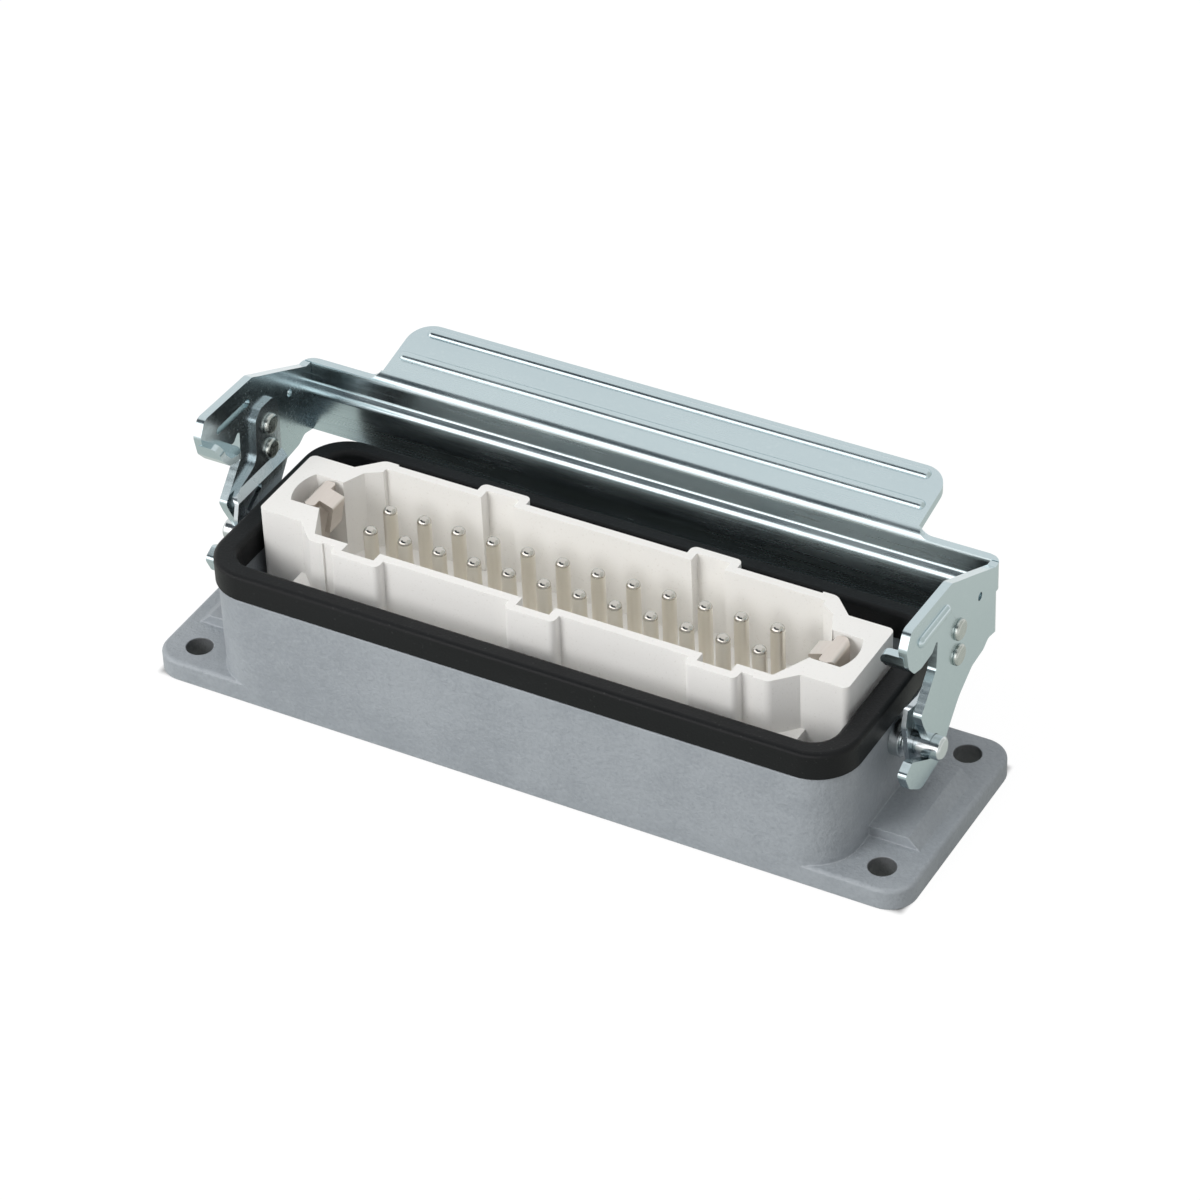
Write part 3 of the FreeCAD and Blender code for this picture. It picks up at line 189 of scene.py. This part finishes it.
def softened(node, name, radius, material, body, slot, crease=32):
    """The solid with its sharp edges rounded and its bends smooth, in the place of its node."""
    weld, flat, crease = 0.002 * mm, math.radians(0.3), math.radians(crease)
    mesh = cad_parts[node].data.copy()
    mesh.name = name
    work = bmesh.new()
    work.from_mesh(mesh)
    bmesh.ops.remove_doubles(work, verts=work.verts, dist=weld)
    bmesh.ops.dissolve_limit(work, angle_limit=flat, verts=work.verts, edges=work.edges)
    work.to_mesh(mesh)
    work.free()
    coated(mesh, material)
    mesh.polygons.foreach_set("material_index", [0] * len(mesh.polygons))
    mesh.shade_smooth()
    mesh.set_sharp_from_angle(angle=crease)
    piece = placed(name, mesh)
    edges = piece.modifiers.new("edges", "BEVEL")
    edges.limit_method, edges.angle_limit = "ANGLE", crease
    edges.width, edges.segments, edges.use_clamp_overlap = radius, 2, True
    flats = piece.modifiers.new("flats", "WEIGHTED_NORMAL")
    flats.mode, flats.weight, flats.keep_sharp = "FACE_AREA", 50, True
    finished(piece, body, slot, node)


cast_edge = 0.35 * mm
grit_depth, ripple_depth = 0.12 * mm, 0.3 * mm
deep_grey, pale_grey, pit_grey = (0.285, 0.312, 0.338), (0.345, 0.374, 0.400), (0.20, 0.22, 0.24)
# Near-black colour for the insides of the fixing holes: painted shade.
painted_hole_shade = (0.10, 0.105, 0.11)
hole_across, hole_along, hole_radius, hole_rim = 65 * mm, 16 * mm, 2.35 * mm, 0.15 * mm

paint = Finish("grey textured paint")
mottle = paint.noise(scale=70, detail=4, roughness=0.65)
speckle = paint.noise(scale=1500, detail=2, roughness=0.6)
ripple = paint.noise(scale=260, detail=3, roughness=0.6)
shade = paint.band(mottle * 0.6 + speckle * 0.4, 0.36, 0.64)
pit = paint.band(paint.noise(scale=2600, detail=1, roughness=0.5), 0.66, 0.74)
# Mask of the fixing holes, where the paint turns near black as painted shade for the holes'
# shadowed walls.
off_x, off_y = abs(paint.axis("X")) - hole_across, abs(paint.axis("Y")) - hole_along
hole_shade_mask = paint.band(off_x * off_x + off_y * off_y, hole_radius ** 2,
                     (hole_radius + hole_rim) ** 2, 1.0, 0.0)
colour = paint.blend(shade, deep_grey, pale_grey)
colour = paint.blend(pit * 0.35, colour, pit_grey)
colour = paint.blend(hole_shade_mask, colour, painted_hole_shade)
grey_paint = paint.shader(
    Base_Color=colour, Roughness=paint.gloss(speckle, 0.42, 0.56), Metallic=0.0,
    Normal=paint.relief(speckle, grit_depth, paint.relief(ripple, ripple_depth)))
softened("housing", "cast_housing", cast_edge, grey_paint, "base", "grey_paint")

# Rim gasket. Moulded black rubber pushed over the housing's rim, with a satin skin.
# Its skin carries a fine grain, a few pale dust specks and long soft streaks.
gasket_edge, grain_depth = 0.25 * mm, 0.04 * mm
deep_black, pale_black = (0.004, 0.0045, 0.005), (0.010, 0.011, 0.012)
dust_grey = (0.10, 0.105, 0.10)

rubber = Finish("black moulded rubber")
grain = rubber.noise(scale=3200, detail=2, roughness=0.55)
streaks = rubber.noise(scale=45, detail=3, roughness=0.6, place=rubber.stretched((0.4, 1, 1.6)))
dust = rubber.band(rubber.noise(scale=1900, detail=1, roughness=0.4), 0.70, 0.78)
colour = rubber.blend(dust * 0.15, rubber.blend(streaks, deep_black, pale_black), dust_grey)
black_rubber = rubber.shader(
    Base_Color=colour, Roughness=rubber.gloss(streaks, 0.36, 0.50), IOR=1.27, Metallic=0.0,
    Normal=rubber.relief(grain, grain_depth))
softened("rim_gasket", "moulded_rim_gasket", gasket_edge, black_rubber, "base", "black_rubber")

# Panel seal. A ring of the same rubber in the groove of the mounting face.
# It is pressed flat by the panel, so only its skin shows underneath.
coated(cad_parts["panel_seal"].data, black_rubber)

# Insert. Glass-filled off-white moulding that carries the pins and keys the mating half.
# Its satin skin is slightly warm, with faint flow marks and a soft sheen.
insert_edge, skin_depth = 0.22 * mm, 0.02 * mm
deep_white, pale_white = (0.874, 0.861, 0.833), (0.916, 0.906, 0.882)
fibre_brown = (0.62, 0.59, 0.54)

moulding = Finish("off-white moulding")
flow = moulding.noise(scale=55, detail=3, roughness=0.55, place=moulding.stretched((0.5, 1, 1.4)))
skin = moulding.noise(scale=2400, detail=2, roughness=0.5)
fibres = moulding.band(skin, 0.62, 0.74)
colour = moulding.blend(fibres * 0.25, moulding.blend(flow, deep_white, pale_white), fibre_brown)
white_moulding = moulding.shader(
    Base_Color=colour, Roughness=moulding.gloss(flow, 0.40, 0.50), Metallic=0.0,
    Normal=moulding.relief(skin, skin_depth))
softened("insert_body", "moulded_insert", insert_edge, white_moulding, "base", "white_moulding")

# Contact pins. Twenty-four turned brass pins, silver plated, with rounded tips, in two rows.
# Each has a satin shank, yellowing towards its foot, and a smoother worn tip whose colour is
# darkened as a painted dark reflection.
pin_nodes = [f"contact_pin_{number:02d}" for number in range(1, 25)]
first_low, first_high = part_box(pin_nodes[0])
last_low, last_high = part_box(pin_nodes[-1])
first, last = (first_low + first_high) / 2, (last_low + last_high) / 2
pin_radius = (first_high.x - first_low.x) / 2
pin_foot, pin_tip = first_low.z, first_high.z
yellow_below = 15 * mm
yellowed, silvery, painted_tip_shade = (0.87, 0.83, 0.745), (0.94, 0.915, 0.85), (0.56, 0.54, 0.50)

silver = Finish("silvered pin")
rise = silver.axis("Z")
rings = silver.noise(scale=900, detail=2, roughness=0.5, place=silver.stretched((0.15, 0.15, 6)))
# Tip mask: its darker colour is a painted dark reflection, and its lower roughness is the wear.
tip_polish_and_shade = silver.band(rise, pin_tip - pin_radius * 0.9, pin_tip - pin_radius * 0.6)
colour = silver.blend(silver.band(rise, yellow_below, pin_tip), yellowed, silvery)
silvered_pin = silver.shader(
    Base_Color=silver.blend(tip_polish_and_shade, colour, painted_tip_shade), Metallic=1.0,
    Roughness=silver.band(tip_polish_and_shade, 0.0, 1.0, 0.33, 0.12) + rings * 0.02)


def turned(name, profile, around=32, crease=40):
    """A closed body of revolution from its (radius, height) outline, listed upwards."""
    work = bmesh.new()
    hoops = []
    for radius, height in profile:
        count = around if radius > 0 else 1
        hoops.append([work.verts.new((radius * math.cos(math.tau * step / around),
                                      radius * math.sin(math.tau * step / around), height))
                      for step in range(count)])
    for low, high in zip(hoops, hoops[1:]):
        for step in range(around):
            corners = [low[step % len(low)], low[(step + 1) % len(low)],
                       high[(step + 1) % len(high)], high[step % len(high)]]
            work.faces.new(list(dict.fromkeys(corners)))
    mesh = bpy.data.meshes.new(name)
    work.to_mesh(mesh)
    work.free()
    mesh.shade_smooth()
    mesh.set_sharp_from_angle(angle=math.radians(crease))
    return mesh


def planted(name, mesh, inputs, material, body, slot, nodes):
    """The mesh repeated on a grid of points by Geometry Nodes, as one plain piece on a body."""
    tree = bpy.data.node_groups.new(name, "GeometryNodeTree")
    tree.interface.new_socket("Geometry", in_out="INPUT", socket_type="NodeSocketGeometry")
    keys = {}
    for label, (kind, _) in inputs.items():
        keys[label] = tree.interface.new_socket(label, in_out="INPUT", socket_type=kind).identifier
    tree.interface.new_socket("Geometry", in_out="OUTPUT", socket_type="NodeSocketGeometry")
    given = tree.nodes.new("NodeGroupInput").outputs
    grid = tree.nodes.new("GeometryNodeMeshGrid")
    for label, socket in (("Length", "Size X"), ("Width", "Size Y"), ("Columns", "Vertices X"),
                          ("Rows", "Vertices Y")):
        tree.links.new(given[label], grid.inputs[socket])
    shift = tree.nodes.new("GeometryNodeTransform")
    tree.links.new(grid.outputs["Mesh"], shift.inputs["Geometry"])
    tree.links.new(given["Centre"], shift.inputs["Translation"])
    stand = tree.nodes.new("GeometryNodeInstanceOnPoints")
    tree.links.new(shift.outputs[0], stand.inputs["Points"])
    tree.links.new(given["Geometry"], stand.inputs["Instance"])
    spin = tree.nodes.new("FunctionNodeRandomValue")
    spin.data_type = "FLOAT_VECTOR"
    spin.inputs["Min"].default_value = (0, 0, 0)
    spin.inputs["Max"].default_value = (0, 0, math.tau)
    spin.inputs["Seed"].default_value = 7
    tree.links.new(spin.outputs[0], stand.inputs["Rotation"])
    whole = tree.nodes.new("GeometryNodeRealizeInstances")
    tree.links.new(stand.outputs[0], whole.inputs[0])
    dress = tree.nodes.new("GeometryNodeSetMaterial")
    dress.inputs["Material"].default_value = material
    tree.links.new(whole.outputs[0], dress.inputs["Geometry"])
    tree.links.new(dress.outputs[0], tree.nodes.new("NodeGroupOutput").inputs[0])

    piece = placed(name, mesh)
    modifier = piece.modifiers.new("rows", "NODES")
    modifier.node_group = tree
    for label, (_, value) in inputs.items():
        modifier[keys[label]] = value
    finished(piece, body, slot, *nodes)


tip_round = pin_radius * 0.86
arc = [math.radians(angle) for angle in range(0, 91, 15)]
outline = [(0, pin_foot), (pin_radius, pin_foot)]
outline += [(pin_radius - tip_round + tip_round * math.cos(angle),
             pin_tip - tip_round + tip_round * math.sin(angle)) for angle in arc]
outline.append((0, pin_tip))
planted("turned_pins", turned("turned pin", outline), {
    "Length": ("NodeSocketFloat", last.x - first.x),
    "Width": ("NodeSocketFloat", last.y - first.y),
    "Columns": ("NodeSocketInt", 12),
    "Rows": ("NodeSocketInt", 2),
    "Centre": ("NodeSocketVector", ((first.x + last.x) / 2, (first.y + last.y) / 2, 0)),
}, silvered_pin, "base", "silvered_pin", pin_nodes)

# Terminals. Plated brass blocks that hold the pins, with a clamp screw for each wire.
# They sit in the insert's chambers and show only from the wire side.


def metal(finish, tone, deep, pale, smooth, rough, grain, depth):
    """A bare metal: its tone runs from deep and smooth to pale and rough, over a fine grain."""
    return finish.shader(Base_Color=finish.blend(tone, deep, pale), Metallic=1.0,
                         Roughness=finish.gloss(tone, smooth, rough),
                         Normal=finish.relief(grain, depth))


brass = Finish("plated terminal")
terminal_brass = metal(
    brass, brass.noise(scale=400, detail=3, roughness=0.6),
    deep=(0.56, 0.47, 0.33), pale=(0.70, 0.62, 0.48), smooth=0.28, rough=0.42,
    grain=brass.noise(scale=2200, detail=2, roughness=0.5), depth=0.02 * mm)
coated(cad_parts["terminal_blocks"].data, terminal_brass)

# Screws. Zinc-plated steel with slotted heads: insert, earth and clamp screws.
# They are bright, with a lightly clouded plating and a fine grain.
screw_zinc = Finish("zinc-plated screw")
zinc_screws = metal(
    screw_zinc, screw_zinc.noise(scale=600, detail=3, roughness=0.6),
    deep=(0.50, 0.52, 0.54), pale=(0.68, 0.70, 0.72), smooth=0.26, rough=0.40,
    grain=screw_zinc.noise(scale=2600, detail=2, roughness=0.5), depth=0.02 * mm)
for name in ("insert_screws", "earth_screws", "terminal_screws"):
    coated(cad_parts[name].data, zinc_screws)

# Earth contacts. A bent strip of nickel-plated spring bronze at each end of the insert.
# The leaf on top is warm and satin, drawn along its length.
strip = Finish("nickel-plated strip")
draw = strip.noise(scale=300, detail=3, roughness=0.6, place=strip.stretched((5, 0.8, 5)))
earth_strip = metal(strip, draw, deep=(0.62, 0.56, 0.51), pale=(0.78, 0.73, 0.68),
                    smooth=0.30, rough=0.44, grain=draw, depth=0.006 * mm)
strip_edge = 0.12 * mm
for side in ("left", "right"):
    softened(f"earth_contact_{side}", f"bent_earth_contact_{side}", strip_edge, earth_strip,
             "base", "earth_strip")

# Pivot pegs. Bright turned steel pegs with a collar, pressed into the end walls.
# Fine turning rings run round them.
peg = Finish("bright turned peg")
rings = peg.noise(scale=1200, detail=2, roughness=0.6, place=peg.stretched((6, 0.3, 0.3)))
peg_steel = metal(peg, rings, deep=(0.58, 0.62, 0.63), pale=(0.68, 0.72, 0.73),
                  smooth=0.16, rough=0.24, grain=rings, depth=0.0008 * mm)
peg_edge = 0.15 * mm
for side in ("left", "right"):
    softened(f"pivot_peg_{side}", f"turned_peg_{side}", peg_edge, peg_steel, "base", "peg_steel")

# Locking lever. One blank of steel sheet, pressed with ribs, folded, and blue-bright zinc plated.
# The plating is mirror-like in places and clouded in others, drawn along the sheet.
sheet_edge, sheet_crease = 0.2 * mm, 28
drawn_depth, spangle_depth = 0.002 * mm, 0.0015 * mm
deep_zinc, pale_zinc = (0.475, 0.570, 0.605), (0.580, 0.678, 0.700)
spangle_zinc = (0.61, 0.695, 0.71)

plating = Finish("blue-bright zinc plate")
cloud = plating.noise(scale=40, detail=4, roughness=0.6, place=plating.stretched((0.5, 1.2, 1.2)))
drawn = plating.noise(scale=500, detail=3, roughness=0.6, place=plating.stretched((0.12, 3, 3)))
spangle = plating.noise(scale=1400, detail=2, roughness=0.55)
colour = plating.blend(cloud, deep_zinc, pale_zinc)
colour = plating.blend(plating.band(spangle, 0.55, 0.72) * 0.25, colour, spangle_zinc)
zinc_sheet = plating.shader(
    Base_Color=colour, Metallic=1.0,
    Roughness=plating.band(cloud * 0.6 + drawn * 0.4, 0.35, 0.65, 0.17, 0.30),
    Normal=plating.relief(drawn, drawn_depth, plating.relief(spangle, spangle_depth)))
softened("locking_lever", "pressed_lever", sheet_edge, zinc_sheet, "lever", "zinc_sheet",
         sheet_crease)

# Leaf springs. Hardened strip riveted inside the lever's arms, stepping in to ride on the pegs.
# The same plating as the lever, a little darker.
blade = Finish("zinc-plated spring strip")
spring_steel = metal(
    blade, blade.noise(scale=200, detail=3, roughness=0.6, place=blade.stretched((1, 1, 0.4))),
    deep=(0.48, 0.54, 0.57), pale=(0.62, 0.67, 0.70), smooth=0.20, rough=0.32,
    grain=blade.noise(scale=1800, detail=2, roughness=0.5), depth=0.02 * mm)
spring_edge = 0.1 * mm
for side in ("left", "right"):
    softened(f"leaf_spring_{side}", f"bent_leaf_spring_{side}", spring_edge, spring_steel,
             "lever", "spring_steel")

# Rivets. Domed steel rivets that clench the springs to the arms.
# Satin heads with a little tumbling wear.
rivet = Finish("satin rivet")
rivet_steel = metal(
    rivet, rivet.noise(scale=900, detail=3, roughness=0.6),
    deep=(0.42, 0.45, 0.43), pale=(0.56, 0.59, 0.56), smooth=0.20, rough=0.32,
    grain=rivet.noise(scale=2400, detail=2, roughness=0.5), depth=0.02 * mm)
rivet_edge = 0.08 * mm
softened("lever_rivets", "domed_rivets", rivet_edge, rivet_steel, "lever", "rivet_steel")

# Floor. A plain pale sheet that the connector's flange lies on, not part of the object.
# The camera sees it nearly white with the object's shadow. The metal reflects a glow painted greyer
# close by, as painted shade round the object, and brighter far away.
# Under the flange it doesn't glow, so the fixing holes stay dark.
floor_grey, camera_white, glow_share = (0.60, 0.60, 0.60), 1.12, 0.84
near, far = 0.05, 0.30
painted_shade_grey, far_white = (0.64, 0.68, 0.63), (1.35, 1.30, 1.28)
_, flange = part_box("housing")
flange_edge = 1.5 * mm
reach, drop = 6.0, -0.2 * mm

sheet = Finish("pale floor")
rays = sheet.node("ShaderNodeLightPath").outputs
straight, mirrored = Number(sheet, rays["Is Camera Ray"]), Number(sheet, rays["Is Glossy Ray"])
under = (sheet.band(abs(sheet.axis("X")), flange.x - flange_edge, flange.x, 1.0, 0.0)
         * sheet.band(abs(sheet.axis("Y")), flange.y - flange_edge, flange.y, 1.0, 0.0))
away = sheet.number("ShaderNodeVectorMath", {"operation": "DISTANCE"}, [sheet.place, (0, 0, 0)],
                    output="Value")
matt = sheet.node("ShaderNodeBsdfDiffuse", {}, {"Color": floor_grey})
white_glow = sheet.node("ShaderNodeEmission", {}, {"Color": (1, 1, 1), "Strength": camera_white})
# Reflected glow, darker near the object: painted shade round the object.
grey_glow = sheet.node("ShaderNodeEmission", {}, {
    "Color": sheet.blend(sheet.band(away, near, far), painted_shade_grey, far_white), "Strength": 1.0})
cover = sheet.node("ShaderNodeMixShader", {}, [
    straight * (1 - under) * glow_share, matt.outputs[0], white_glow.outputs[0]])
cover = sheet.node("ShaderNodeMixShader", {}, [
    mirrored * glow_share, cover.outputs[0], grey_glow.outputs[0]])
ground = bpy.data.meshes.new("floor")
ground.from_pydata([(-reach, -reach, drop), (reach, -reach, drop), (reach, reach, drop),
                    (-reach, reach, drop)], [], [(0, 1, 2, 3)])
coated(ground, sheet.surfaced(cover))
placed("floor", ground)

# Light. A white room seen by the camera and by reflections, and softer for the light it gives.
# Two soft boxes model the forms, and curved cards round the set band the metal's reflections.
room = bpy.data.worlds.new("studio")
bpy.context.scene.world = room
fill = 0.50
air = Wiring(room)
rays = air.node("ShaderNodeLightPath").outputs
seen = (Number(air, rays["Is Camera Ray"]) + Number(air, rays["Is Glossy Ray"])
        + Number(air, rays["Is Transmission Ray"])).clamped()
surround = air.node("ShaderNodeBackground", {}, {
    "Color": (1, 1, 1), "Strength": seen * (1 - fill) + fill})
air.node("ShaderNodeOutputWorld", {}, [surround.outputs[0]])


def soft_box(name, place, aim, size, power):
    """A square area light at a place, turned to its aim."""
    lamp = bpy.data.lights.new(name, "AREA")
    lamp.shape, lamp.size, lamp.energy = "SQUARE", size, power
    holder = placed(name, lamp)
    holder.location = place
    holder.visible_glossy = False
    holder.rotation_euler = (Vector(aim) - Vector(place)).to_track_quat("-Z", "Y").to_euler()


def compass(turn, height, distance=1.6):
    """A place in the room by its compass angle from the front and its height, in degrees."""
    turn, height = math.radians(turn), math.radians(height)
    return (distance * math.sin(turn) * math.cos(height),
            -distance * math.cos(turn) * math.cos(height), distance * math.sin(height))


def glowing_card(name, colour, strength, turns, heights, steps=12):
    """A curved card round the set between two heights, seen only in reflections."""
    finish = Finish(name)
    glow = finish.node("ShaderNodeEmission", {}, {"Color": colour, "Strength": strength})
    start, end = turns
    places = [compass(start + (end - start) * step / steps, height)
              for step in range(steps + 1) for height in heights]
    card = bpy.data.meshes.new(name)
    card.from_pydata(places, [], [(2 * step, 2 * step + 2, 2 * step + 3, 2 * step + 1)
                                  for step in range(steps)])
    coated(card, finish.surfaced(glow))
    holder = placed(name, card)
    holder.visible_camera = holder.visible_diffuse = holder.visible_shadow = False


glowing_card("dark card", (0.80, 0.96, 1.10), 0.085, turns=(-80, 50), heights=(36, 66))
glowing_card("bright strip", (1.0, 0.97, 0.96), 2.4, turns=(-70, 30), heights=(1, 34))
glowing_card("grey card", (0.98, 1.0, 0.96), 0.73, turns=(60, 150), heights=(-2, 60))
soft_box("overhead", place=(0.12, 0.05, 1.0), aim=(0, 0, 0), size=0.9, power=2.7)
soft_box("front", place=(-0.45, -0.90, 0.55), aim=(0, 0, 0.02), size=0.6, power=7.6)

# Camera. Fitted to the corners of the flange, body, gasket and pins in the photograph.
# A long lens from the front right, above, with a slight roll.
turn, height, roll = math.radians(30.243), math.radians(37.208), -0.0422
back = Vector((math.sin(turn) * math.cos(height), -math.cos(turn) * math.cos(height),
               math.sin(height)))
level = Vector((math.cos(turn), math.sin(turn), 0))
upright = back.cross(level)
right = level * math.cos(roll) + upright * math.sin(roll)
up = upright * math.cos(roll) - level * math.sin(roll)
lens = bpy.data.cameras.new("photo")
lens.lens, lens.sensor_width = 141.85, 36
lens.clip_start, lens.clip_end = 0.01, 20
camera = placed("photo", lens)
camera.matrix_world = Matrix((right, up, back)).transposed().to_4x4()
camera.location = (0.318134, -0.536414, 0.498152)
bpy.context.scene.camera = camera
bpy.context.scene.view_settings.view_transform = "Standard"
